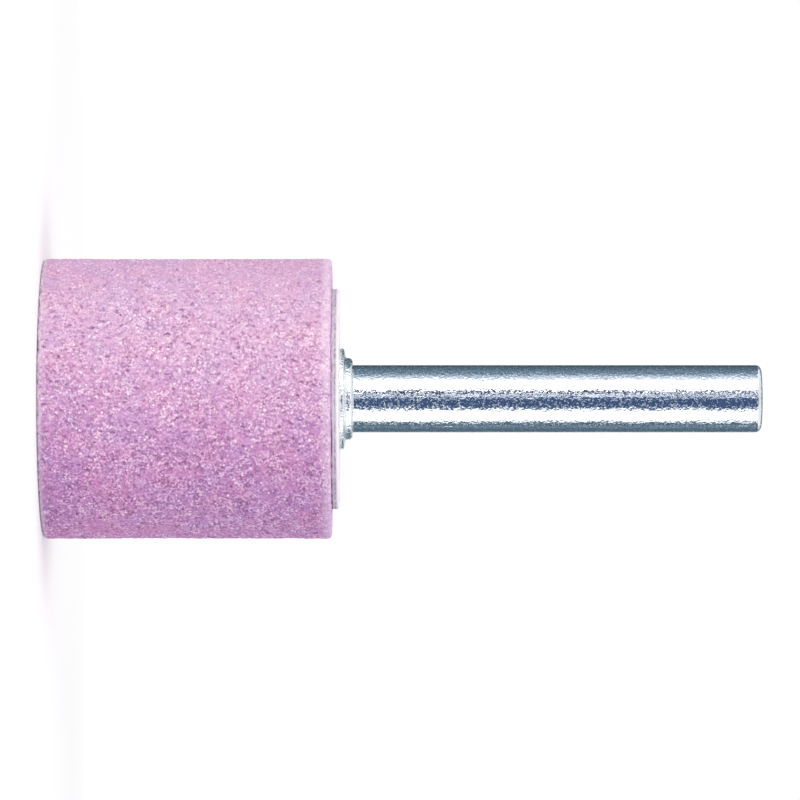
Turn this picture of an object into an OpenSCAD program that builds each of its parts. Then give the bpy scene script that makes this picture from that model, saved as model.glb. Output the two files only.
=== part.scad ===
// Mounted point for a die grinder: a straight abrasive stone on a plain steel shank.
// The stone has a blind hole in its back face. The grooved tang of the shank is cemented into
// that hole, and the collar of the shank holds a thin card disc against the stone.
// The part stands on the flat end of the stone with the shank pointing up along Z.

/* [Stone] */
// Diameter of the stone
head_d = 25; // [22:0.5:40]
// Length of the stone
head_l = 25.7; // [22:0.1:60]
// Rounding of the two outer edges of the stone
head_edge_r = 0.4; // [0.1:0.05:1.5]

/* [Card disc] */
// Thickness of the card disc between stone and collar
disc_t = 0.65; // [0.3:0.05:1]
// Distance from the side of the stone in to the rim of the card disc
disc_margin = 2.65; // [1.6:0.05:4]
// Rounding of the upper edge of the card disc, where the die pressed it down
disc_edge_r = 0.2; // [0.02:0.01:0.25]

/* [Shank] */
// Diameter of the shank, the size the collet grips
shank_d = 6; // [5:0.5:8]
// Length of the shank that stands out of the stone
shank_l = 38.3; // [25:0.1:80]
// Rounding of the free end of the shank
shank_end_r = 0.5; // [0.1:0.05:1]

/* [Collar] */
// How far the wide lower step of the collar stands out from the shank
collar_low_w = 1.5; // [1.1:0.05:2.2]
// Height of the wide lower step at its rim
collar_low_h = 0.44; // [0.4:0.01:1.5]
// Slope of the upper face of the wide lower step, which falls outwards, in degrees
collar_slope = 13; // [0:1:20]
// Rounding of the upper edge of the wide lower step
collar_low_r = 0.18; // [0.05:0.01:0.3]
// How far the narrow upper step of the collar stands out from the shank
collar_top_w = 0.65; // [0.6:0.05:0.8]
// Height of the narrow upper step
collar_top_h = 0.6; // [0.5:0.01:1.5]
// Rounding of the upper edge of the narrow upper step
collar_top_r = 0.38; // [0.05:0.01:0.39]
// Radius of the fillets at the foot of the upper step and at the foot of the shank
collar_fillet_r = 0.1; // [0.02:0.01:0.2]

/* [Tang and cement] */
// Length of the tang inside the stone
tang_l = 15; // [12:0.5:18]
// Chamfer on the end of the tang
tang_chamfer = 0.7; // [0.2:0.05:1]
// Number of ring grooves around the tang
groove_count = 4; // [2:1:5]
// Radius of the round section of the ring grooves
groove_r = 0.45; // [0.2:0.05:0.6]
// Length of the two flats at the end of the tang, which stop it turning in the cement
flat_l = 5; // [3:0.5:6]
// Depth of each flat
flat_depth = 0.5; // [0.2:0.05:1]
// Thickness of the cement around the tang
cement_gap = 0.25; // [0.15:0.05:0.5]
// Thickness of the cement under the end of the tang
cement_floor = 0.8; // [0.4:0.1:1.5]

/* [View] */
// Sub-part to draw

/* [Hidden] */
$fn = 96;
cut = 1;
// How far one rounding of the collar bites into the next face, so that the two cross cleanly
bite = 0.001;

head_r = head_d / 2;
shank_r = shank_d / 2;
disc_r = head_r - disc_margin;
hole_r = shank_r + cement_gap;
collar_low_rad = shank_r + collar_low_w;
collar_top_rad = shank_r + collar_top_w;
// Radius at which the rounded rim of the wide lower step runs out into its sloping upper face
face_rad = collar_low_rad - collar_low_r + (collar_low_r - bite) * sin(collar_slope);

// Levels along the axis, from the flat end of the stone up
tang_z = head_l - tang_l;
hole_z = tang_z - cement_floor;
collar_z = head_l + disc_t;
rim_z = collar_z + collar_low_h;
face_z = rim_z - collar_low_r + (collar_low_r - bite) * cos(collar_slope);
step_z = face_z + (face_rad - collar_top_rad) * tan(collar_slope);
neck_z = step_z + collar_top_h;
top_z = head_l + shank_l;

groove_zone_z = tang_z + flat_l;
groove_pitch = (head_l - groove_zone_z) / (groove_count + 1);

// Half profile of a disc of radius r from z0 to z1 with its upper rim rounded
module rounded_step(r, z0, z1, round_r) {
    translate([0, z0]) square([r, z1 - z0 - round_r]);
    translate([0, z0]) square([r - round_r, z1 - z0]);
    translate([r - round_r, z1 - round_r]) circle(r = round_r);
}

// Half profile of a disc of radius r from z0 to z1 with both rims rounded
module rounded_disc(r, z0, z1, round_r) {
    translate([0, z0 + round_r]) square([r, z1 - z0 - 2 * round_r]);
    translate([0, z0]) square([r - round_r, z1 - z0]);
    translate([r - round_r, z0 + round_r]) circle(r = round_r);
    translate([r - round_r, z1 - round_r]) circle(r = round_r);
}

// Half profile of the fillet where a wall of radius r stands at level z on a face that falls outwards at a slope
module foot_fillet(r, z, fillet_r, slope = 0) {
    reach = fillet_r * (1 - sin(slope));
    rise = reach / cos(slope) - bite;
    translate([r, z]) difference() {
        translate([0, -fillet_r]) square([reach, fillet_r + rise]);
        translate([fillet_r, rise]) circle(r = fillet_r);
    }
}

// Half profile of the wide lower step of the collar, with its rounded rim and sloping upper face
module low_step() {
    rounded_step(collar_low_rad, collar_z, rim_z, collar_low_r);
    polygon([
        [0, collar_z],
        [face_rad, collar_z],
        [face_rad, face_z],
        [collar_top_rad, step_z],
        [0, step_z]
    ]);
}

// Half profile of the tang, from its chamfered end up to the underside of the collar
module tang_profile() {
    difference() {
        polygon([
            [0, tang_z],
            [shank_r - tang_chamfer, tang_z],
            [shank_r, tang_z + tang_chamfer],
            [shank_r, collar_z],
            [0, collar_z]
        ]);
        for (i = [1 : groove_count])
            translate([shank_r, groove_zone_z + i * groove_pitch]) circle(r = groove_r);
    }
}

// Tang with its ring grooves and its two flats
module tang() {
    difference() {
        rotate_extrude() tang_profile();
        for (side = [-1, 1])
            translate([side * (shank_d - flat_depth), 0, tang_z + flat_l / 2 - cut / 2])
                cube([shank_d, shank_d + cut, flat_l + cut], center = true);
    }
}

// Vitrified stone with the blind hole for the tang
module abrasive_head() {
    color("#dba9d0") difference() {
        rotate_extrude() rounded_disc(head_r, 0, head_l, head_edge_r);
        translate([0, 0, hole_z]) cylinder(r = hole_r, h = head_l - hole_z + cut);
    }
}

// Cement that fills the hole around and under the tang, up to the underside of the collar
module cement() {
    color("#b9b4a8") difference() {
        translate([0, 0, hole_z]) cylinder(r = hole_r, h = collar_z - hole_z);
        tang();
    }
}

// Die-cut card disc, bored to the size of the hole in the stone
module backing_disc() {
    color("#f4f2f6") difference() {
        rotate_extrude() rounded_step(disc_r, head_l, collar_z, disc_edge_r);
        translate([0, 0, head_l - cut]) cylinder(r = hole_r, h = disc_t + 2 * cut);
    }
}

// One-piece plated steel shank with its two-step collar and its tang
module shank() {
    color("#c3ccd6") union() {
        tang();
        rotate_extrude() {
            low_step();
            foot_fillet(collar_top_rad, step_z, collar_fillet_r, collar_slope);
            rounded_step(collar_top_rad, step_z, neck_z, collar_top_r);
            foot_fillet(shank_r, neck_z, collar_fillet_r);
            rounded_step(shank_r, neck_z, top_z, shank_end_r);
        }
    }
}

abrasive_head();
cement();
backing_disc();
shank();
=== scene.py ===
"""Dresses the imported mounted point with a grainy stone, a card disc, a plated shank and a stage."""

import math

import bpy
import numpy as np
from mathutils import Matrix, Vector
from mathutils.geometry import delaunay_2d_cdt


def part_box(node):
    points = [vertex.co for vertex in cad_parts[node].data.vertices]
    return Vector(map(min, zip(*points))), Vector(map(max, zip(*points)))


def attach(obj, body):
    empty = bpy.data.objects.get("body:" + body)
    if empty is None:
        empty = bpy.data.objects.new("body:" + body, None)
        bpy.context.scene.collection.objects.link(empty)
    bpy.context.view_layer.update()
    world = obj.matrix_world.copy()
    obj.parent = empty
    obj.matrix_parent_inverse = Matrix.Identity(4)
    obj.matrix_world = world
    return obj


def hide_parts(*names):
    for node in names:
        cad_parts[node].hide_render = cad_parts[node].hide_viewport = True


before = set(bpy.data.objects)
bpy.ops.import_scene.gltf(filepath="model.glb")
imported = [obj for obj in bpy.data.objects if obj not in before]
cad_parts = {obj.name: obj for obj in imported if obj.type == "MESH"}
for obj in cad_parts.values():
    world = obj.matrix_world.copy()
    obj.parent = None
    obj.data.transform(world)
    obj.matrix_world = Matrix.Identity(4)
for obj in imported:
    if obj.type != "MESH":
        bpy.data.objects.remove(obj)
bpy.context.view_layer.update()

bl_info = {
    "name": "Mounted Point",
    "version": (1, 0, 0),
    "blender": (4, 5, 0),
    "location": "View3D > Sidebar > Mounted Point",
    "description": "Builds the grainy stone, card disc and plated shank of a mounted point",
    "category": "Object",
}

MM = 0.001
FULL_TURN = 2.0 * math.pi
WHITE = (1.0, 1.0, 1.0, 1.0)
# Middle of the random colours of a cell texture
MIDDLE = (0.5, 0.5, 0.5)

_, STONE_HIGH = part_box("abrasive_head")
DISC_LOW, DISC_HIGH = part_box("backing_disc")
SHANK_LOW, SHANK_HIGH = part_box("shank")
CEMENT_LOW, CEMENT_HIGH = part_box("cement")

# Height of a row of triangles with sides of 1
ROW = math.sqrt(3.0) / 2.0
# How far the points of the stone's uneven mesh stray, as a share of their distance
STRAY = 0.28
# Distance below which two places count as one
TOUCH = 0.001 * MM
# Waves round the disc's rim and round the collar: the share of each, its number and its start
RIM_WAVES = ((1.0, 7.0, 0.0), (1.0, 13.0, 1.0), (0.7, 31.0, 2.0))
COLLAR_WAVES = ((0.5, 2.0, 0.6), (0.3, 3.0, 2.0), (0.2, 7.0, 0.0))


# Settings


def length(name, description, default, low=0.0):
    """A length in metres."""
    kind = {"unit": "LENGTH", "subtype": "DISTANCE", "precision": 6}
    return bpy.props.FloatProperty(name=name, description=description, default=default, min=low, **kind)


def share(name, description, default, high=1.0):
    """A plain number from 0 up to high."""
    return bpy.props.FloatProperty(name=name, description=description, default=default, min=0.0, max=high)


def whole(name, description, default):
    """A whole number."""
    return bpy.props.IntProperty(name=name, description=description, default=default, min=0)


def power(name, description, default):
    """The power of a lamp in watts."""
    return bpy.props.FloatProperty(name=name, description=description, default=default, unit="POWER")


def paint(name, description, default):
    """A linear colour."""
    return bpy.props.FloatVectorProperty(
        name=name, description=description, default=default, size=3, subtype="COLOR", min=0.0, max=1.0
    )


class StoneSettings(bpy.types.PropertyGroup):
    """Sizes and colours of the abrasive stone."""

    radius: length("Radius", "Radius of the stone", STONE_HIGH[0])
    height: length("Length", "Length of the stone", STONE_HIGH[2])
    edge: length("Edge round", "Rounding of the two outer edges", 0.4 * MM)
    hole_radius: length("Hole radius", "Radius of the blind hole", CEMENT_HIGH[0])
    hole_floor: length("Hole floor", "Height of the hole's bottom", CEMENT_LOW[2])
    step: length("Mesh step", "Distance between points of the mesh", 0.172 * MM, 0.05 * MM)
    grain: length("Grain size", "Size of one abrasive grain", 0.30 * MM, 0.05 * MM)
    relief: length("Relief", "Depth of the lowest grains", 0.09 * MM)
    pit_share: share("Pit share", "Share of grains that have broken out", 0.06)
    pit_depth: length("Pit depth", "Depth of the pits they leave", 0.10 * MM)
    tilt: share("Grain tilt", "How far the top of a grain leans", 0.4)
    seed: whole("Seed", "Picks the pattern of the grains", 7)
    pore_share: share("Pore share", "Share of specks that are dark pores", 0.07)
    glint_share: share("Glint share", "Share of specks that glint", 0.08)
    tint_share: share("Tint share", "Strength of the rose and lilac tints", 0.26)
    body_colour: paint("Body", "Colour of most of the grains", (0.58, 0.258, 0.57))
    light_colour: paint("Light grain", "Colour of the clearest grains", (0.92, 0.70, 0.89))
    dark_colour: paint("Dark grain", "Colour of the deepest grains", (0.30, 0.10, 0.31))
    pore_shade_colour: paint("Pore", "Colour inside the pores", (0.22, 0.08, 0.23))
    glint_colour: paint("Glint", "Colour of the brightest specks", (0.98, 0.86, 0.96))
    rose_colour: paint("Rose", "Tint of the pinker parts", (0.68, 0.25, 0.49))
    lilac_colour: paint("Lilac", "Tint of the bluer parts", (0.46, 0.26, 0.59))
    pale_edge_and_highlight_colour: paint("Pale edge", "Colour of the dust on the two edges", (0.80, 0.68, 0.84))
    edge_band: length("Edge band", "Width of the paler band along the back edge", 1.1 * MM)


class DiscSettings(bpy.types.PropertyGroup):
    """Sizes and colours of the card disc."""

    radius: length("Radius", "Radius of the card disc", DISC_HIGH[0])
    low: length("Underside", "Height of the face that lies on the stone", DISC_LOW[2])
    high: length("Top face", "Height of the face under the collar", DISC_HIGH[2])
    bore: length("Bore", "Radius of the hole in the disc", CEMENT_HIGH[0])
    edge: length("Edge round", "Rounding of the pressed upper edge", 0.2 * MM)
    under: length("Under round", "Rounding of the lower edge", 0.05 * MM)
    waver: length("Rim waver", "How far each wave of the die-cut rim goes", 0.012 * MM)
    inset: length("Rim inset", "Room left for the waves of the rim", 0.03 * MM)
    crease: length("Crease", "Height of the crease in the rim above the stone", 0.34 * MM)
    sides: whole("Sides", "Points round the disc", 360)
    face_colour: paint("Face", "Colour of the card's face", (0.93, 0.92, 0.94))
    fibre_colour: paint("Fibre", "Colour of the greyer fibres", (0.76, 0.74, 0.77))
    rim_colour: paint("Rim", "Colour of the cut edge of the card", (0.80, 0.82, 0.88))
    rim_dark_colour: paint("Rim layers", "Colour of its darker layers", (0.58, 0.55, 0.65))
    glue_and_shade_colour: paint("Glue", "Colour of the glue along the stone", (0.11, 0.07, 0.125))


class ShankSettings(bpy.types.PropertyGroup):
    """Sizes and colours of the plated shank."""

    radius: length("Radius", "Radius of the plain shank", 3.0 * MM)
    top: length("Top", "Height of the free end", SHANK_HIGH[2])
    end_round: length("End round", "Rounding of the free end", 0.5 * MM)
    sides: whole("Sides", "Points round the shank", 192)
    rows: whole("Rows", "Rows of faces along the plain shank", 24)
    collar_foot: length("Collar foot", "Height of the underside of the collar", DISC_HIGH[2])
    collar_under: length("Under round", "Rounding of the lower edge of the collar", 0.06 * MM)
    collar_low_radius: length("Low step radius", "Radius of the wide step", SHANK_HIGH[0])
    collar_low_height: length("Low step height", "Height of the wide step at its rim", 0.44 * MM)
    collar_low_round: length("Low step round", "Rounding of the wide step", 0.18 * MM)
    collar_slope: bpy.props.FloatProperty(
        name="Low step slope",
        description="Slope of the wide step's upper face",
        default=math.radians(13.0),
        subtype="ANGLE",
    )
    collar_top_radius: length("Top step radius", "Radius of the narrow step", 3.65 * MM)
    collar_top_height: length("Top step height", "Height of the narrow step", 0.60 * MM)
    collar_top_round: length("Top step round", "Rounding of the narrow step", 0.38 * MM)
    collar_wave: length("Collar wave", "How far the upset collar is out of round", 0.03 * MM)
    fillet: length("Fillet", "Fillets at the feet of the steps", 0.1 * MM)
    tang_foot: length("Tang end", "Height of the lower end of the tang", SHANK_LOW[2])
    tang_chamfer: length("Tang chamfer", "Chamfer on the end of the tang", 0.7 * MM)
    groove: length("Groove", "Radius of the ring grooves", 0.45 * MM)
    grooves: whole("Grooves", "Number of ring grooves", 4)
    flat_length: length("Flat length", "Length of the two flats on the tang", 5.0 * MM)
    flat_depth: length("Flat depth", "Depth of each flat", 0.5 * MM)
    flat_step: length("Flat step", "Height of the step above the flats", 0.02 * MM)
    plating: paint("Plating", "Colour of the zinc plating", (0.80, 0.845, 0.89))
    dull_plating: paint("Dull plating", "Colour of the duller patches", (0.60, 0.66, 0.73))
    lighter_collar_plating: paint("Clean plating", "Colour of the less handled collar", (0.94, 0.96, 0.98))
    shaded_end_plating: paint("End plating", "Colour of the dull turned end face", (0.43, 0.48, 0.55))


class CementSettings(bpy.types.PropertyGroup):
    """Colours of the cement around the tang."""

    pale: paint("Pale", "Colour of the pale parts", (0.52, 0.50, 0.46))
    dark: paint("Dark", "Colour of the dark parts", (0.36, 0.34, 0.31))


class StageSettings(bpy.types.PropertyGroup):
    """Camera, lamps, reflectors and floor."""

    distance: length("Camera distance", "Distance from the camera to the axis", 0.55)
    lens: bpy.props.FloatProperty(name="Lens", description="Focal length", default=277.2, unit="CAMERA")
    aim_height: length("Aim height", "Height of the picture's middle", 31.77 * MM)
    aim_side: length("Aim side", "Sideways place of the picture's middle", 0.107 * MM)
    key_power: power("Key", "Power of the key lamp", 1.1)
    fill_power: power("Fill", "Power of the fill lamp", 0.76)
    top_power: power("Top", "Power of the top lamp", 2.4)
    sheen_power: power("Sheen", "Power of the sheen lamp", 14.5)
    ambient: share("Ambient", "Level of the light from all round", 0.30)
    floor_colour: paint("Floor", "Colour of the floor", (0.86, 0.86, 0.87))
    floor_glow: share("Floor glow", "White that the floor adds near the object", 0.16)
    upper_glow: share("Upper panel", "Level of the upper white reflector", 3.5, 10.0)
    lower_glow: share("Lower panel", "Level of the lower white reflector", 2.0, 10.0)
    navy: paint("Navy card", "Colour of the card beside the camera", (0.06, 0.105, 0.215))
    slate: paint("Slate card", "Colour of the cards behind the object", (0.10, 0.16, 0.21))
    grey: paint("Grey stripe", "Colour of the stripes on the slate cards", (0.25, 0.34, 0.43))


# Node trees


class Tree:
    """Short calls that add nodes to a shader or geometry tree and link them."""

    def __init__(self, tree):
        self.tree = tree

    def add(self, kind, inputs=None, **settings):
        """Adds a node and fills in its settings and inputs."""
        node = self.tree.nodes.new(kind)
        for key, value in settings.items():
            setattr(node, key, value)
        for key, value in (inputs or {}).items():
            self.put(value, node.inputs[key])
        return node

    def put(self, value, socket):
        """Links an output to an input, or sets the input to a plain value."""
        if isinstance(value, bpy.types.NodeSocket):
            self.tree.links.new(value, socket)
        else:
            socket.default_value = rgba(value) if socket.type == "RGBA" else value

    def place(self):
        """The object's own coordinates."""
        return self.add("ShaderNodeTexCoord").outputs["Object"]

    def parts(self, vector):
        """The X, Y and Z of a vector, or the three parts of a colour."""
        return self.add("ShaderNodeSeparateXYZ", {"Vector": vector}).outputs

    def math(self, operation, first, second=0.0, clamp=False):
        """The result of an operation on one or two numbers."""
        node = self.add("ShaderNodeMath", {0: first, 1: second}, operation=operation, use_clamp=clamp)
        return node.outputs["Value"]

    def plus(self, first, second, clamp=False):
        """The sum of two numbers."""
        return self.math("ADD", first, second, clamp)

    def times(self, first, second, clamp=False):
        """The product of two numbers."""
        return self.math("MULTIPLY", first, second, clamp)

    def vector(self, operation, first, second=(0.0, 0.0, 0.0), scale=1.0):
        """The result of an operation on one or two vectors."""
        node = self.add("ShaderNodeVectorMath", {0: first, 1: second}, operation=operation)
        if operation == "SCALE":
            self.put(scale, node.inputs["Scale"])
        return node.outputs["Value" if operation in ("DOT_PRODUCT", "LENGTH") else "Vector"]

    def reach(self, place):
        """The distance of a place from the object's axis."""
        return self.vector("LENGTH", self.vector("MULTIPLY", place, (1.0, 1.0, 0.0)))

    def span(self, value, low, high, to_low=0.0, to_high=1.0, smooth=False):
        """A number brought from one range into another, and held there."""
        inputs = {"Value": value, "From Min": low, "From Max": high, "To Min": to_low, "To Max": to_high}
        curve = "SMOOTHSTEP" if smooth else "LINEAR"
        return self.add("ShaderNodeMapRange", inputs, interpolation_type=curve).outputs["Result"]

    def mix(self, factor, first, second):
        """A colour between two others."""
        node = self.add("ShaderNodeMix", {"Factor": factor}, data_type="RGBA")
        colours = [socket for socket in node.inputs if socket.type == "RGBA"]
        self.put(first, colours[0])
        self.put(second, colours[1])
        return [socket for socket in node.outputs if socket.type == "RGBA"][0]

    def noise(self, where, size, detail=2.0, roughness=0.5, output="Fac"):
        """A soft random number or colour, in lumps of this size."""
        inputs = {"Vector": where, "Scale": 1.0 / size, "Detail": detail, "Roughness": roughness}
        return self.add("ShaderNodeTexNoise", inputs).outputs[output]

    def cells(self, where, scale):
        """Outputs of a texture of random cells, so many to the metre."""
        return self.add("ShaderNodeTexVoronoi", {"Vector": where, "Scale": scale}).outputs

    def bump(self, height, strength, depth, **more):
        """A normal that leans with a height."""
        inputs = {"Strength": strength, "Distance": depth, "Height": height, **more}
        return self.add("ShaderNodeBump", inputs).outputs["Normal"]


def rgba(colour):
    """A colour with full cover."""
    return (*colour[:3], 1.0)


def emptied(owner):
    """Empties the node tree of a material or world, and returns the tree."""
    owner.use_nodes = True
    owner.node_tree.nodes.clear()
    return Tree(owner.node_tree)


def new_material(name):
    """A material with a principled shader, its tree, and the shader's inputs."""
    material = bpy.data.materials.new(name)
    tree = emptied(material)
    shader = tree.add("ShaderNodeBsdfPrincipled")
    tree.add("ShaderNodeOutputMaterial", {"Surface": shader.outputs["BSDF"]})
    return material, tree, shader.inputs


# Materials


def stone_material(stone):
    """Clear, pink and deep grains of fused alumina in a pink bond, with dark pores between them. Painted
    light here: the darkness of the pores and pits, the glints, the front edge band and part of the back one,
    and the contrast that grows toward +X.
    """
    material, tree, shader = new_material("vitrified pink abrasive")
    seat = tree.add("ShaderNodeAttribute", attribute_name="grain_seat").outputs["Vector"]
    pit = tree.add("ShaderNodeAttribute", attribute_name="pit").outputs["Fac"]
    place = tree.place()
    axes = tree.parts(place)

    def painted_light_side(low, high):
        """A number that goes evenly across the stone from -X to +X, for painted light. It keeps the texture
        calmer on the -X side, which the sheen washes out, and coarser on the +X side, which gets less light.
        """
        return tree.span(axes["X"], -stone.radius, stone.radius, low, high)

    # Tone of the grains, with more contrast in some places than in others, and more toward +X as painted
    # light
    grains = tree.cells(seat, 1.0 / stone.grain)
    fine = tree.noise(seat, size=0.21 * MM, roughness=0.6)
    lot = tree.parts(grains["Color"])
    tone = tree.plus(fine, tree.span(lot["Z"], 0.0, 1.0, -0.07, 0.07))
    busy = tree.span(tree.noise(seat, size=1.7 * MM, roughness=0.6), 0.36, 0.60, 0.35, 1.2)
    busy = tree.times(busy, painted_light_side(0.65, 1.45))
    tone = tree.times(tree.span(tone, 0.30, 0.70, -0.5, 0.5), busy)
    ramp = tree.add("ShaderNodeValToRGB", {"Fac": tree.plus(tone, 0.5)})
    stops = ramp.color_ramp.elements
    stops[0].color = rgba(stone.dark_colour)
    stops[1].color = rgba(stone.light_colour)
    stops.new(0.5).color = rgba(stone.body_colour)

    # Pinker and bluer parts of the body
    mottle = tree.noise(seat, size=3.0 * MM, detail=3.0)
    tint = tree.mix(tree.span(mottle, 0.38, 0.62), stone.lilac_colour, stone.rose_colour)
    colour = tree.mix(stone.tint_share, ramp.outputs["Color"], tint)

    # Dark pores and bright glints, as single specks with uneven outlines. The pores' darkness is painted
    # shade of small holes, and the glints are painted highlights
    break_size = 0.13 * MM
    drift = tree.vector("SUBTRACT", tree.noise(seat, break_size, output="Color"), MIDDLE)
    uneven = tree.vector("ADD", seat, tree.vector("SCALE", drift, scale=0.22 * MM))
    specks = tree.cells(uneven, 1.0 / (0.8 * stone.grain))
    lot = tree.parts(specks["Color"])
    inside = tree.span(specks["Distance"], 0.25, 0.5, 1.0, 0.0, smooth=True)
    pore_shade = tree.times(inside, tree.math("LESS_THAN", lot["X"], stone.pore_share))
    # Painted shade also darkens the pits of broken-out grains, and all of it grows toward +X
    pore_shade = tree.math("MAXIMUM", pore_shade, tree.times(pit, 0.4))
    pore_shade = tree.times(pore_shade, painted_light_side(0.4, 1.15), clamp=True)
    colour = tree.mix(pore_shade, colour, stone.pore_shade_colour)
    # Painted highlights: near-white glint specks in the base colour, brighter toward +X
    glint = tree.times(inside, tree.math("GREATER_THAN", lot["Y"], 1.0 - stone.glint_share))
    colour = tree.mix(tree.times(glint, painted_light_side(0.5, 1.0)), colour, stone.glint_colour)

    # Pale bands along the back edge and the front edge, with uneven borders. The back band is partly a
    # dressed edge and partly painted light on the rim; the front band is a painted highlight that lifts the
    # floor's contact shadow
    band_start = stone.height - stone.edge_band
    band_full = stone.height - 0.3 * stone.edge_band
    level = tree.plus(axes["Z"], tree.span(mottle, 0.3, 0.7, -0.3 * MM, 0.3 * MM))
    back = tree.span(level, band_start, band_full, 0.0, 0.4, smooth=True)
    rim = tree.span(tree.reach(place), stone.radius - 1.2 * MM, stone.radius - 0.2 * MM, 0.35, 1.0)
    back = tree.times(back, rim)
    level = tree.plus(axes["Z"], tree.span(fine, 0.3, 0.7, -0.2 * MM, 0.2 * MM))
    front = tree.span(level, 0.1 * MM, 0.5 * MM, 0.7, 0.0)
    colour = tree.mix(tree.math("MAXIMUM", back, front), colour, stone.pale_edge_and_highlight_colour)
    tree.put(colour, shader["Base Color"])
    tree.put(tree.span(glint, 0.0, 1.0, 0.75, 0.6), shader["Roughness"])
    shader["IOR"].default_value = 1.76

    # Each grain leans its own way, and has a rough break
    lean = tree.vector("SUBTRACT", grains["Color"], MIDDLE)
    normal = tree.add("ShaderNodeNewGeometry").outputs["Normal"]
    normal = tree.vector("ADD", normal, tree.vector("SCALE", lean, scale=0.5))
    normal = tree.vector("NORMALIZE", normal)
    rough_break = tree.noise(seat, break_size)
    tree.put(tree.bump(rough_break, strength=0.6, depth=0.03 * MM, Normal=normal), shader["Normal"])
    return material


def card_material(disc):
    """White pressed card with a faint fibre. Its cut rim is greyer, with painted shade of a crease and a
    dark line along the stone, partly glue and partly painted contact shadow.
    """
    material, tree, shader = new_material("white pressed card")
    place = tree.place()
    axes = tree.parts(place)

    pressed = tree.vector("MULTIPLY", place, (1.0, 3.0, 6.0))
    fibre = tree.noise(pressed, size=0.5 * MM, detail=4.0, roughness=0.65)
    fleck = tree.noise(place, size=0.12 * MM)
    face = tree.mix(tree.span(fibre, 0.35, 0.68, 0.0, 0.5), disc.face_colour, disc.fibre_colour)

    # Layers and smudges of the cut edge
    flattened = tree.vector("MULTIPLY", place, (0.2, 0.2, 1.0))
    layers = tree.noise(flattened, size=0.14 * MM, detail=3.0, roughness=0.65)
    smudge = tree.noise(place, size=0.35 * MM)
    edge = tree.mix(tree.span(layers, 0.38, 0.66), disc.rim_colour, disc.rim_dark_colour)
    edge = tree.mix(tree.span(smudge, 0.56, 0.70, 0.0, 0.3), edge, disc.glue_and_shade_colour)

    # Painted shade of a fine crease, broken into beads
    away = tree.math("ABSOLUTE", tree.math("SUBTRACT", axes["Z"], disc.low + disc.crease))
    crease = tree.span(away, 0.02 * MM, 0.07 * MM, 1.0, 0.0)
    crease = tree.times(crease, tree.span(smudge, 0.40, 0.60, 0.05, 0.55))
    edge = tree.mix(crease, edge, disc.glue_and_shade_colour)

    # Dark line along the stone, partly glue and partly painted contact shadow in the gap between card and
    # stone, darker toward +X, where less light falls
    glue_and_contact_shade = tree.span(axes["Z"], disc.low + 0.06 * MM, disc.low + 0.17 * MM, 1.0, 0.0)
    line_breaks = tree.span(tree.noise(place, size=1.1 * MM, detail=3.0, roughness=0.6), 0.36, 0.62, 0.15, 0.9)
    shade_toward_plus_x = tree.span(axes["X"], -disc.radius, disc.radius, 0.25, 1.3)
    glue_and_contact_shade = tree.times(glue_and_contact_shade, tree.times(line_breaks, shade_toward_plus_x, clamp=True))
    edge = tree.mix(glue_and_contact_shade, edge, disc.glue_and_shade_colour)

    # The cut rim ends where the pressed edge starts
    rim = tree.span(tree.reach(place), disc.radius - 0.16 * MM, disc.radius - 0.10 * MM)
    cut = tree.span(axes["Z"], disc.high - 1.15 * disc.edge, disc.high - 0.85 * disc.edge, 1.0, 0.0)
    tree.put(tree.mix(tree.times(rim, cut), face, edge), shader["Base Color"])
    tree.put(tree.span(fibre, 0.2, 0.8, 0.7, 0.9), shader["Roughness"])
    shader["Specular IOR Level"].default_value = 0.3
    height = tree.plus(fibre, tree.times(fleck, 0.6))
    tree.put(tree.bump(height, strength=0.25, depth=0.03 * MM), shader["Normal"])
    return material


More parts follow.
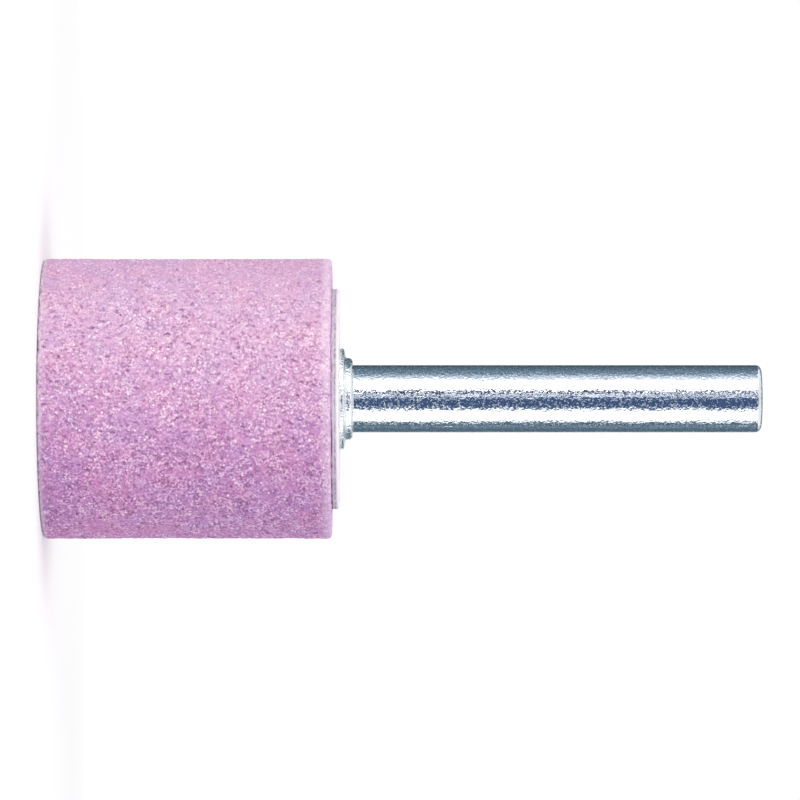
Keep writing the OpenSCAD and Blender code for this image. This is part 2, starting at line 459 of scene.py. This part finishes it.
def plating_material(shank):
    """Bright zinc plating with an orange-peel grain, a lighter collar and a dull end with turned rings,
    whose darker colour is painted shade.
    """
    material, tree, shader = new_material("bright zinc plating")
    place = tree.place()
    level = tree.parts(place)["Z"]
    collar = tree.span(level, shank.collar_foot + 1.15 * MM, shank.collar_foot + 1.4 * MM, 1.0, 0.0)
    end = tree.span(level, shank.top - 0.06 * MM, shank.top - 0.01 * MM)
    ring_pitch = 0.17 * MM
    rings = tree.math("SINE", tree.times(tree.reach(place), FULL_TURN / ring_pitch))
    grain = tree.noise(place, size=0.24 * MM, detail=1.0, roughness=0.6)
    drawn = tree.vector("MULTIPLY", place, (1.0, 1.0, 0.35))
    patch = tree.noise(drawn, size=1.3 * MM, detail=3.0, roughness=0.55)

    # Short scratches that cross at two slants
    scratch_size = 0.8 * MM
    dashes = []
    for turn in (0.6, -0.9):
        inputs = {"Vector": place, "Rotation": (turn, 0.4 * turn, turn), "Scale": (1.0, 1.0, 0.12)}
        slant = tree.add("ShaderNodeMapping", inputs).outputs["Vector"]
        marks = tree.cells(slant, 1.0 / scratch_size)
        dashes.append(tree.span(marks["Distance"], 0.0, 0.1, 1.0, 0.0))
    scratches = tree.math("MAXIMUM", dashes[0], dashes[1])

    colour = tree.mix(tree.span(patch, 0.35, 0.7, 0.0, 0.6), shank.plating, shank.dull_plating)
    # The collar gets a lighter plating colour, which brightens its reflections
    colour = tree.mix(tree.times(collar, 0.7), colour, shank.lighter_collar_plating)
    # Painted shade: the end face gets a darker plating colour so that it stands apart from the white
    # surroundings
    colour = tree.mix(end, colour, shank.shaded_end_plating)
    tree.put(colour, shader["Base Color"])
    shader["Metallic"].default_value = 1.0

    satin = tree.span(tree.noise(place, size=0.19 * MM, roughness=0.6), 0.5, 0.62, 0.0, 0.3)
    rough = tree.plus(tree.span(patch, 0.3, 0.75, 0.06, 0.11), satin)
    for mark, extra in ((scratches, 0.1), (collar, 0.10), (end, 0.25)):
        rough = tree.plus(rough, tree.times(mark, extra))
    tree.put(rough, shader["Roughness"])

    height = tree.times(grain, tree.span(patch, 0.3, 0.7, 0.6, 1.35))
    height = tree.math("SUBTRACT", height, tree.times(scratches, 0.5))
    height = tree.times(height, tree.span(collar, 0.0, 1.0, 1.0, 2.2))
    height = tree.plus(height, tree.times(tree.times(rings, end), 0.06))
    tree.put(tree.bump(height, strength=1.0, depth=0.036 * MM), shader["Normal"])
    return material


def cement_material(cement):
    """Grey cement with fine sand in it."""
    material, tree, shader = new_material("bonding cement")
    sand = tree.noise(tree.place(), size=0.25 * MM, detail=4.0, roughness=0.6)
    tree.put(tree.mix(sand, cement.dark, cement.pale), shader["Base Color"])
    tree.put(tree.span(sand, 0.2, 0.8, 0.75, 0.95), shader["Roughness"])
    tree.put(tree.bump(sand, strength=0.4, depth=0.05 * MM), shader["Normal"])
    return material


# Meshes


class Shell:
    """Collects points and faces, and turns them into a mesh object at the origin."""

    def __init__(self):
        self.points = []
        self.faces = []

    def add(self, block):
        """Adds a block of points and returns their numbers."""
        first = sum(len(earlier) for earlier in self.points)
        self.points.append(block)
        return np.arange(first, first + len(block))

    def ring(self, radius, height, turns):
        """Adds points at these angles and returns their numbers."""
        radius = np.broadcast_to(radius, turns.shape)
        height = np.broadcast_to(height, turns.shape)
        return self.add(np.stack([radius * np.cos(turns), radius * np.sin(turns), height], axis=1))

    def scatter(self, flat, height):
        """Adds points at these plan places and returns their numbers."""
        return self.add(np.column_stack([flat, np.full(len(flat), height)]))

    def band(self, low, high, inward=False):
        """Joins two rings of the same count with quads."""
        quads = np.stack([low, np.roll(low, -1), np.roll(high, -1), high], axis=1)
        self.faces.extend((quads[:, ::-1] if inward else quads).tolist())

    def bands(self, rings):
        """Joins each ring with the next one."""
        for low, high in zip(rings, rings[1:]):
            self.band(low, high)

    def staggered_band(self, low, high, shifted):
        """Joins two rings with triangles. A shifted lower ring is half a step further round."""
        low_next = np.roll(low, -1)
        high_next = np.roll(high, -1)
        pair = ((low, low_next, high), (low_next, high_next, high))
        if shifted:
            pair = ((low, high_next, high), (low, low_next, high_next))
        for triangles in pair:
            self.faces.extend(np.stack(triangles, axis=1).tolist())

    def cap(self, ring):
        """Closes a ring with one face."""
        self.faces.append(ring.tolist())

    def lid(self, numbers, up, hole=()):
        """Fills a flat area with triangles between these points, except inside its hole."""
        where = np.concatenate(self.points)[numbers]
        flat = [Vector((x / MM, y / MM)) for x, y, _ in where]
        whole_area, tolerance = 0, 1e-7
        _, _, triangles, origin, _, _ = delaunay_2d_cdt(flat, [], [], whole_area, tolerance)
        hole = {int(n) for n in hole}
        for triangle in triangles:
            corners = [int(numbers[origin[i][0]]) for i in triangle]
            if hole.issuperset(corners):
                continue
            self.faces.append(corners if up else corners[::-1])

    def object(self, name):
        """The finished object, in the scene."""
        mesh = bpy.data.meshes.new(name)
        mesh.from_pydata(np.concatenate(self.points).tolist(), [], self.faces)
        mesh.validate()
        mesh.update()
        made = bpy.data.objects.new(name, mesh)
        bpy.context.scene.collection.objects.link(made)
        return made


def full_turn(count, start=0.0):
    """Angles of evenly spaced points round a circle."""
    return (np.arange(count) + start) * FULL_TURN / count


def arc(centre_radius, centre_height, radius, start, end, points):
    """Points (radius, height) along a rounding."""
    angles = np.radians(np.linspace(start, end, points))
    return [(centre_radius + radius * math.cos(a), centre_height + radius * math.sin(a)) for a in angles]


def ripple(turn, waves):
    """Sum of waves round the axis."""
    return sum(part * np.sin(count * turn + start) for part, count, start in waves)


def scattered_disc(rng, outer, step, hole=None):
    """Plan places of an uneven triangular grid in a circle, outside its hole."""
    reach = int(outer / step) + 2
    i, j = np.meshgrid(np.arange(-reach, reach + 1), np.arange(-reach * 2, reach * 2 + 1))
    x = (i + 0.5 * (j % 2)) * step
    y = j * step * ROW
    flat = np.stack([x.ravel(), y.ravel()], axis=1)
    flat += rng.uniform(-STRAY, STRAY, flat.shape) * step
    out = np.hypot(flat[:, 0], flat[:, 1])
    margin = 0.6 * step
    inside = out < outer - margin
    if hole is not None:
        inside &= out > hole + margin
    return flat[inside]


def stone_profile(stone):
    """Points (radius, height) up the stone's side, and the rows in each rounded edge."""
    row = stone.step * ROW
    bends = max(3, round(stone.edge * math.pi / 2.0 / row))
    inner = stone.radius - stone.edge
    straight = stone.height - 2.0 * stone.edge
    rows = round(straight / row)
    profile = arc(inner, stone.edge, stone.edge, -90.0, 0.0, bends + 1)
    profile += [(stone.radius, stone.edge + straight * k / rows) for k in range(1, rows)]
    profile += arc(inner, stone.height - stone.edge, stone.edge, 0.0, 90.0, bends + 1)
    return profile, bends


def relief_mask(points, stone, cover_radius):
    """1 where the grains show, and 0 in the blind hole and under the card disc."""
    fade_start = cover_radius - 0.35 * MM
    fade_width = 0.2 * MM
    out = np.hypot(points[:, 0], points[:, 1])
    bare = np.clip((out - fade_start) / fade_width, 0.0, 1.0)
    on_back = points[:, 2] > stone.height - TOUCH
    hollow = (out < stone.hole_radius + TOUCH) & (points[:, 2] > TOUCH)
    return np.where(hollow, 0.0, np.where(on_back, bare, 1.0))


def stone_base(stone, cover_radius):
    """The trued stone as an uneven triangle mesh with its blind hole."""
    rng = np.random.default_rng(stone.seed)
    sides = round(FULL_TURN * stone.radius / stone.step)
    row = stone.step * ROW
    profile, bends = stone_profile(stone)
    shell = Shell()
    rings = []
    for k, (radius, height) in enumerate(profile):
        turns = full_turn(sides, 0.5 * (k % 2)) + rng.uniform(-STRAY, STRAY, sides) * FULL_TURN / sides
        on_side = bends < k < len(profile) - 1 - bends
        lift = rng.uniform(-STRAY, STRAY, sides) * row if on_side else np.zeros(sides)
        rings.append(shell.ring(radius, height + lift, turns))
    for k in range(len(rings) - 1):
        shell.staggered_band(rings[k], rings[k + 1], k % 2 == 1)

    # Front face, with somewhat wider steps than the side
    inner = stone.radius - stone.edge
    front = shell.scatter(scattered_disc(rng, inner, 1.4 * stone.step), 0.0)
    shell.lid(np.concatenate([rings[0], front]), up=False)

    # Back face, with fine steps from just under the card's rim outwards, and the mouth of the hole
    fine_start = cover_radius - 0.5 * MM
    coarse_end = cover_radius - 0.7 * MM
    coarse_sides = 180
    back = shell.scatter(scattered_disc(rng, inner, 1.15 * stone.step, hole=fine_start), stone.height)
    under = shell.ring(coarse_end, stone.height, full_turn(coarse_sides))
    hole_turns = full_turn(72)
    mouth = shell.ring(stone.hole_radius, stone.height, hole_turns)
    shell.lid(np.concatenate([rings[-1], back, under, mouth]), up=True, hole=mouth)
    foot = shell.ring(stone.hole_radius, stone.hole_floor, hole_turns)
    shell.band(foot, mouth, inward=True)
    shell.cap(foot)

    made = shell.object("abrasive_stone")
    mask = relief_mask(np.concatenate(shell.points), stone, cover_radius).astype(np.float32)
    made.data.attributes.new("relief", "FLOAT", "POINT").data.foreach_set("value", mask)
    return made


def grain_tree():
    """Geometry nodes that break a trued surface up into leaning grains and pits, and their inputs."""
    group = bpy.data.node_groups.new("Grain relief", "GeometryNodeTree")
    group.is_modifier = True
    face = group.interface
    for side in ("INPUT", "OUTPUT"):
        face.new_socket("Geometry", in_out=side, socket_type="NodeSocketGeometry")
    sockets = {
        name: face.new_socket(name, in_out="INPUT", socket_type="NodeSocketFloat").identifier
        for name in ("Grain size", "Relief", "Grain tilt", "Pit share", "Pit depth", "Seed")
    }
    coat = face.new_socket("Material", in_out="INPUT", socket_type="NodeSocketMaterial")
    sockets["Material"] = coat.identifier

    # Random cells, one for each grain, moved along by the seed
    tree = Tree(group)
    given = tree.add("NodeGroupInput").outputs
    position = tree.add("GeometryNodeInputPosition").outputs["Position"]
    normal = tree.add("GeometryNodeInputNormal").outputs["Normal"]
    shift = tree.vector("SCALE", (0.0131, 0.0073, 0.0097), scale=given["Seed"])
    seat = tree.vector("ADD", position, shift)
    cells = tree.cells(seat, tree.math("DIVIDE", 1.0, given["Grain size"]))
    lot = tree.parts(cells["Color"])

    # Level and lean of each grain's top, and the pits left by broken-out grains
    lean = tree.vector("SUBTRACT", cells["Color"], MIDDLE)
    local = tree.vector("SUBTRACT", seat, cells["Position"])
    steepness = tree.times(given["Grain tilt"], 2.0)
    slope = tree.times(tree.vector("DOT_PRODUCT", local, lean), steepness)
    level = tree.times(lot["X"], given["Relief"])
    height = tree.math("MINIMUM", tree.math("SUBTRACT", slope, level), 0.0)
    pit = tree.math("LESS_THAN", lot["Y"], given["Pit share"])
    height = tree.math("SUBTRACT", height, tree.times(pit, given["Pit depth"]))
    relief = tree.add("GeometryNodeInputNamedAttribute", {"Name": "relief"})
    mask = relief.outputs["Attribute"]
    height = tree.times(height, mask)

    # What the material needs is kept, and then the points move
    shape = given["Geometry"]
    kept = (("grain_seat", "FLOAT_VECTOR", seat), ("pit", "FLOAT", tree.times(pit, mask)))
    for name, kind, value in kept:
        inputs = {"Geometry": shape, "Name": name, "Value": value}
        store = tree.add("GeometryNodeStoreNamedAttribute", inputs, data_type=kind)
        shape = store.outputs["Geometry"]
    offset = tree.vector("SCALE", normal, scale=height)
    moved = tree.add("GeometryNodeSetPosition", {"Geometry": shape, "Offset": offset}).outputs["Geometry"]
    real = tree.add("GeometryNodeRealizeInstances", {"Geometry": moved}).outputs["Geometry"]
    coated = tree.add("GeometryNodeSetMaterial", {"Geometry": real, "Material": given["Material"]})
    tree.add("NodeGroupOutput", {"Geometry": coated.outputs["Geometry"]})
    return group, sockets


def settle(made):
    """Turns an object's evaluated mesh into its plain mesh and takes its modifiers off."""
    seen = made.evaluated_get(bpy.context.evaluated_depsgraph_get())
    plain = bpy.data.meshes.new_from_object(seen)
    plain.name = made.name
    old = made.data
    made.modifiers.clear()
    made.data = plain
    bpy.data.meshes.remove(old)


def shade_smooth(made, corner):
    """Smooth shading, but sharp at edges over this many degrees."""
    made.data.shade_smooth()
    made.data.set_sharp_from_angle(angle=math.radians(corner))


def disc_profile(disc):
    """Points (radius, height) from the bore out along the underside, up the rim and back."""
    profile = [(disc.bore, disc.low)]
    profile += arc(disc.radius - disc.under, disc.low + disc.under, disc.under, -90.0, 0.0, points=4)
    profile += arc(disc.radius - disc.edge, disc.high - disc.edge, disc.edge, 0.0, 90.0, points=8)
    outer_strip = 0.6 * MM
    profile += [(disc.radius - outer_strip, disc.high), (disc.bore, disc.high)]
    return profile


def tang_profile(shank, back):
    """Points (radius, height) of the tang, with its chamfer, flats and ring grooves."""
    radius = shank.radius
    foot = shank.tang_foot
    zone = foot + shank.flat_length
    profile = [(radius - shank.tang_chamfer, foot), (radius, foot + shank.tang_chamfer)]
    profile += [(radius, zone), (radius, zone + shank.flat_step)]
    pitch = (back - zone) / (shank.grooves + 1)
    for k in range(1, shank.grooves + 1):
        profile += arc(radius, zone + k * pitch, shank.groove, -90.0, -270.0, points=13)
    return profile


def collar_profile(shank):
    """Points (radius, height) of the two-step collar, and the height of the neck above it."""
    foot, under, fillet = shank.collar_foot, shank.collar_under, shank.fillet
    low, low_round = shank.collar_low_radius, shank.collar_low_round
    top, top_round = shank.collar_top_radius, shank.collar_top_round
    slope = shank.collar_slope
    tilt = math.degrees(slope)

    # Wide step, with its rounded rim
    profile = [(shank.radius, foot)]
    profile += arc(low - under, foot + under, under, -90.0, 0.0, points=4)
    rim = foot + shank.collar_low_height - low_round
    profile += arc(low - low_round, rim, low_round, 0.0, 90.0 - tilt, points=8)

    # Fillet where the sloping face of the wide step meets the narrow step
    face_radius, face_height = profile[-1]
    step = face_height + (face_radius - top) * math.tan(slope)
    rise = fillet * (1.0 - math.sin(slope)) / math.cos(slope)
    profile += arc(top + fillet, step + rise, fillet, -90.0 - tilt, -180.0, points=5)

    # Rounded top of the narrow step
    neck = step + shank.collar_top_height
    profile += arc(top - top_round, neck - top_round, top_round, 0.0, 90.0, points=10)
    return profile, neck


def plain_profile(shank, neck):
    """Points (radius, height) of the plain shank, up to its rounded end."""
    radius = shank.radius
    fillet = shank.fillet
    end = shank.end_round
    straight = shank.top - neck - fillet
    profile = arc(radius + fillet, neck + fillet, fillet, -90.0, -180.0, points=5)
    profile += [(radius, neck + fillet + straight * k / shank.rows) for k in range(1, shank.rows)]
    profile += arc(radius - end, shank.top - end, end, 0.0, 90.0, points=9)
    profile += [(radius * 0.5, shank.top), (radius * 0.1, shank.top)]
    return profile


def turned(name, profile, sides):
    """A solid turned from a profile, with its first and last rings closed."""
    turns = full_turn(sides)
    shell = Shell()
    rings = [shell.ring(radius, height, turns) for radius, height in profile]
    shell.bands(rings)
    shell.cap(rings[0][::-1])
    shell.cap(rings[-1])
    return shell.object(name)


def press_flats(mesh, shank):
    """Presses the two flats into the lower end of the tang."""
    end = shank.tang_foot + shank.flat_length + 0.5 * shank.flat_step
    limit = shank.radius - shank.flat_depth
    for vertex in mesh.vertices:
        if vertex.co.z < end:
            vertex.co.x = min(max(vertex.co.x, -limit), limit)


def upset_collar(mesh, shank):
    """Draws the collar in here and there, as upsetting leaves it out of round."""
    for vertex in mesh.vertices:
        place = vertex.co
        out = math.hypot(place.x, place.y)
        if place.z < shank.collar_foot or out <= shank.radius + shank.fillet:
            continue
        lean = ripple(math.atan2(place.y, place.x), COLLAR_WAVES)
        grow = 1.0 + min((lean - 1.0) * 0.5, 0.0) * shank.collar_wave / out
        place.x *= grow
        place.y *= grow


# Operators for the pieces


class MOUNTED_POINT_OT_stone(bpy.types.Operator):
    """Builds the abrasive stone and breaks its surface up into grains"""

    bl_idname = "mounted_point.stone"
    bl_label = "Stone"

    def execute(self, context):
        stone = context.scene.mounted_point_stone
        made = stone_base(stone, context.scene.mounted_point_disc.radius)
        group, sockets = grain_tree()
        modifier = made.modifiers.new("Grain relief", "NODES")
        modifier.node_group = group
        values = {
            "Grain size": stone.grain,
            "Relief": stone.relief,
            "Grain tilt": stone.tilt,
            "Pit share": stone.pit_share,
            "Pit depth": stone.pit_depth,
            "Seed": float(stone.seed),
            "Material": stone_material(stone),
        }
        for name, value in values.items():
            modifier[sockets[name]] = value
        settle(made)
        made.data.shade_flat()
        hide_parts("abrasive_head")
        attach(made, "root")
        return {"FINISHED"}


class MOUNTED_POINT_OT_disc(bpy.types.Operator):
    """Builds the card disc with its slightly uneven die-cut rim"""

    bl_idname = "mounted_point.disc"
    bl_label = "Card disc"

    def execute(self, context):
        disc = context.scene.mounted_point_disc
        turns = full_turn(disc.sides)
        uneven = disc.waver * ripple(turns, RIM_WAVES) - disc.inset
        shell = Shell()
        rings = []
        for radius, height in disc_profile(disc):
            near_rim = radius > disc.radius - 1.5 * disc.edge
            rings.append(shell.ring(radius + (uneven if near_rim else 0.0), height, turns))
        shell.bands(rings + rings[:1])
        made = shell.object("card_disc")
        shade_smooth(made, corner=50.0)
        made.data.materials.append(card_material(disc))
        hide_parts("backing_disc")
        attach(made, "root")
        return {"FINISHED"}


class MOUNTED_POINT_OT_shank(bpy.types.Operator):
    """Turns the shank with its tang, its two-step collar and its rounded end"""

    bl_idname = "mounted_point.shank"
    bl_label = "Shank"

    def execute(self, context):
        shank = context.scene.mounted_point_shank
        tang = tang_profile(shank, context.scene.mounted_point_stone.height)
        collar, neck = collar_profile(shank)
        made = turned("plated_shank", tang + collar + plain_profile(shank, neck), shank.sides)
        press_flats(made.data, shank)
        upset_collar(made.data, shank)
        shade_smooth(made, corner=40.0)
        made.data.materials.append(plating_material(shank))
        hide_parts("shank")
        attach(made, "root")
        return {"FINISHED"}


class MOUNTED_POINT_OT_cement(bpy.types.Operator):
    """Gives the hidden cement its material"""

    bl_idname = "mounted_point.cement"
    bl_label = "Cement"

    def execute(self, context):
        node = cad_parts["cement"]
        node.data.materials.clear()
        node.data.materials.append(cement_material(context.scene.mounted_point_cement))
        return {"FINISHED"}


# Stage


def in_view(tree):
    """1 for what is seen, also in reflections, and 0 for what only gives light."""
    path = tree.add("ShaderNodeLightPath").outputs
    seen = tree.plus(path["Is Camera Ray"], path["Is Glossy Ray"])
    return tree.plus(seen, path["Is Transmission Ray"], clamp=True)


def white_studio(stage):
    """Surroundings that are plain white to look at and light the object more softly."""
    world = bpy.data.worlds.new("white studio")
    tree = emptied(world)
    level = tree.span(in_view(tree), 0.0, 1.0, stage.ambient, 1.0)
    sky = tree.add("ShaderNodeBackground", {"Color": WHITE, "Strength": level})
    tree.add("ShaderNodeOutputWorld", {"Surface": sky.outputs["Background"]})
    return world


def floor_material(stage):
    """Pale floor that takes the object's shadow, and goes to plain white further out."""
    material = bpy.data.materials.new("pale floor")
    tree = emptied(material)
    glow_start = 60.0 * MM
    glow_end = 220.0 * MM
    out = tree.vector("LENGTH", tree.place())
    glow = tree.span(out, glow_start, glow_end, stage.floor_glow, 1.0, smooth=True)
    diffuse = tree.add("ShaderNodeBsdfDiffuse", {"Color": stage.floor_colour})
    white = tree.add("ShaderNodeEmission", {"Strength": tree.times(in_view(tree), glow)})
    both = tree.add("ShaderNodeAddShader", {0: diffuse.outputs["BSDF"], 1: white.outputs["Emission"]})
    tree.add("ShaderNodeOutputMaterial", {"Surface": both.outputs["Shader"]})
    return material


def pale_floor(stage, radius=1.5, sides=96):
    """The round floor that the object stands on."""
    shell = Shell()
    shell.cap(shell.ring(radius, 0.0, full_turn(sides)))
    floor = shell.object("floor")
    floor.data.materials.append(floor_material(stage))


def panel_stops(stage):
    """Colours round the reflector ring. Angles run from the camera to -X, which is up in the picture."""
    upper = [stage.upper_glow] * 3
    upper_edge = [0.9] * 3
    upper_dim = [1.5] * 3
    lower = [stage.lower_glow] * 3
    lower_edge = (0.9, 0.95, 1.0)
    navy, slate, grey = stage.navy, stage.slate, stage.grey
    back = (0.80, 0.84, 0.90)
    gap = (1.3, 1.38, 1.5)
    plum = (0.07, 0.07, 0.13)
    haze = (0.85, 0.86, 0.94)
    dusk = (0.5, 0.6, 0.72)
    deep = (0.04, 0.07, 0.09)
    behind_below = (
        (-180, back), (-165, back), (-158, slate), (-122, slate), (-110, grey), (-102, slate), (-86, slate),
    )
    lower_panel = ((-80, lower), (-41, lower), (-37, lower_edge))
    beside_camera = ((-34, navy), (6, navy), (10, gap), (14, gap), (17, plum), (27, plum))
    upper_panel = ((30, upper_edge), (32, upper), (58, upper), (64, upper_dim), (73, haze), (84, dusk))
    behind_above = (
        (92, grey), (100, slate), (108, grey), (116, slate), (140, slate), (147, deep), (172, deep),
        (176, back), (180, back),
    )
    return behind_below + lower_panel + beside_camera + upper_panel + behind_above


def glow_material():
    """Gives off the colour that the reflector ring carries at each point."""
    material = bpy.data.materials.new("panels and cards")
    tree = emptied(material)
    glow = tree.add("ShaderNodeAttribute", attribute_name="glow").outputs["Color"]
    light = tree.add("ShaderNodeEmission", {"Color": glow})
    tree.add("ShaderNodeOutputMaterial", {"Surface": light.outputs["Emission"]})
    return material


def reflector_ring(stage, wall_radius=120.0 * MM, wall_height=106.0 * MM):
    """White panels and dark cards in a ring round the object, with a roof, seen only in reflections."""
    turns = np.arange(-180, 180)
    angles = np.radians(-90.0 - turns)
    stops = panel_stops(stage)
    where = [turn for turn, _ in stops]
    wall = np.ones((len(turns), 4))
    for channel in range(3):
        wall[:, channel] = np.interp(turns, where, [colour[channel] for _, colour in stops])

    # The roof is white, dimmer at its eaves over the navy card, and dark right at the back
    eaves = np.interp(turns, (-42, -30, 12, 30), (1.25, 0.55, 0.55, 1.25))[:, None] * np.ones(4)
    front = np.clip((np.cos(np.radians(turns)) + 0.95) / 0.3, 0.0, 1.0)[:, None]
    roof = (
        (wall_radius, wall_height, eaves, stage.slate),
        (100.0 * MM, 158.0 * MM, WHITE, stage.slate),
        (6.0 * MM, 205.0 * MM, WHITE, stage.grey),
    )

    shell = Shell()
    shell.band(shell.ring(wall_radius, 0.0, angles), shell.ring(wall_radius, wall_height, angles))
    colours = [wall, wall]
    rings = []
    for radius, height, near, far in roof:
        rings.append(shell.ring(radius, height, angles))
        colours.append(front * near + (1.0 - front) * rgba(far))
    shell.bands(rings)
    made = shell.object("reflector_ring")
    glow = made.data.attributes.new("glow", "FLOAT_COLOR", "POINT")
    glow.data.foreach_set("color", np.concatenate(colours).astype(np.float32).ravel())
    made.data.materials.append(glow_material())
    made.visible_camera = False
    made.visible_diffuse = False
    made.visible_shadow = False
    made.visible_transmission = False


def lamp(name, watts, angle, tint, distance=500.0 * MM, height=60.0 * MM, size=300.0 * MM):
    """A soft round lamp, aimed at the middle of the object. The angle runs from the camera to -X."""
    aim = 30.0 * MM
    light = bpy.data.lights.new(name, "AREA")
    light.shape = "DISK"
    light.size = size
    light.energy = watts
    light.color = tint
    made = bpy.data.objects.new(name, light)
    turn = math.radians(angle)
    made.location = (-distance * math.sin(turn), -distance * math.cos(turn), height)
    towards = Vector((0.0, 0.0, aim)) - made.location
    made.rotation_euler = towards.to_track_quat("-Z", "Y").to_euler()
    made.visible_camera = False
    made.visible_glossy = False
    bpy.context.scene.collection.objects.link(made)
    return made


def sheen_lamp(stage):
    """The lamp that gives the stone and the card their broad sheen, and leaves the plating to the panels."""
    made = lamp("sheen_lamp", stage.sheen_power, 56.0, (1.0, 1.0, 0.82), height=30.0 * MM, size=200.0 * MM)
    made.visible_glossy = True
    made.visible_diffuse = False
    made.data.cycles.use_multiple_importance_sampling = False
    dull = bpy.data.collections.new("dull pieces")
    for name in ("abrasive_stone", "card_disc"):
        dull.objects.link(bpy.data.objects[name])
    made.light_linking.receiver_collection = dull


def soft_lamps(stage):
    """A key lamp above in the picture, a fill lamp below, one over the object and one for the sheen."""
    above = {"distance": 20.0 * MM, "height": 600.0 * MM, "size": 400.0 * MM}
    lamp("key_lamp", stage.key_power, 38.0, (1.0, 0.99, 0.89))
    lamp("fill_lamp", stage.fill_power, -52.0, (1.0, 0.94, 0.985))
    lamp("top_lamp", stage.top_power, 0.0, (1.0, 1.0, 1.0), **above)
    sheen_lamp(stage)


def photo_camera(stage):
    """A camera with a long lens that looks along +Y, with +Z to the right and -X up in the picture."""
    eye = bpy.data.cameras.new("camera")
    eye.lens = stage.lens
    eye.clip_start = 0.01
    eye.clip_end = 10.0
    camera = bpy.data.objects.new("camera", eye)
    right = Vector((0.0, 0.0, 1.0))
    up = Vector((-1.0, 0.0, 0.0))
    back = Vector((0.0, -1.0, 0.0))
    turn = Matrix((right, up, back)).transposed().to_4x4()
    camera.matrix_world = Matrix.Translation((stage.aim_side, -stage.distance, stage.aim_height)) @ turn
    bpy.context.scene.collection.objects.link(camera)
    return camera


class MOUNTED_POINT_OT_stage(bpy.types.Operator):
    """Sets up the floor, the white surroundings, the lamps, the reflector panels and the camera"""

    bl_idname = "mounted_point.stage"
    bl_label = "Stage"

    def execute(self, context):
        scene = context.scene
        stage = scene.mounted_point_stage
        scene.view_settings.view_transform = "Standard"
        scene.world = white_studio(stage)
        pale_floor(stage)
        reflector_ring(stage)
        soft_lamps(stage)
        scene.camera = photo_camera(stage)
        return {"FINISHED"}


# Panel and registration


PIECES = (
    (MOUNTED_POINT_OT_stone, "mounted_point_stone", StoneSettings),
    (MOUNTED_POINT_OT_disc, "mounted_point_disc", DiscSettings),
    (MOUNTED_POINT_OT_shank, "mounted_point_shank", ShankSettings),
    (MOUNTED_POINT_OT_cement, "mounted_point_cement", CementSettings),
    (MOUNTED_POINT_OT_stage, "mounted_point_stage", StageSettings),
)


class MOUNTED_POINT_PT_panel(bpy.types.Panel):
    """Lists the pieces of the mounted point and their sizes"""

    bl_idname = "MOUNTED_POINT_PT_panel"
    bl_label = "Mounted Point"
    bl_space_type = "VIEW_3D"
    bl_region_type = "UI"
    bl_category = "Mounted Point"

    def draw(self, context):
        for operator, name, group in PIECES:
            box = self.layout.box()
            box.operator(operator.bl_idname)
            for key in group.__annotations__:
                box.prop(getattr(context.scene, name), key)


def register():
    for operator, name, group in PIECES:
        bpy.utils.register_class(group)
        setattr(bpy.types.Scene, name, bpy.props.PointerProperty(type=group))
        bpy.utils.register_class(operator)
    bpy.utils.register_class(MOUNTED_POINT_PT_panel)


def unregister():
    bpy.utils.unregister_class(MOUNTED_POINT_PT_panel)
    for operator, name, group in reversed(PIECES):
        bpy.utils.unregister_class(operator)
        delattr(bpy.types.Scene, name)
        bpy.utils.unregister_class(group)


def main():
    register()
    bpy.ops.mounted_point.stone()
    bpy.ops.mounted_point.disc()
    bpy.ops.mounted_point.shank()
    bpy.ops.mounted_point.cement()
    bpy.ops.mounted_point.stage()


if __name__ == "__main__":
    main()
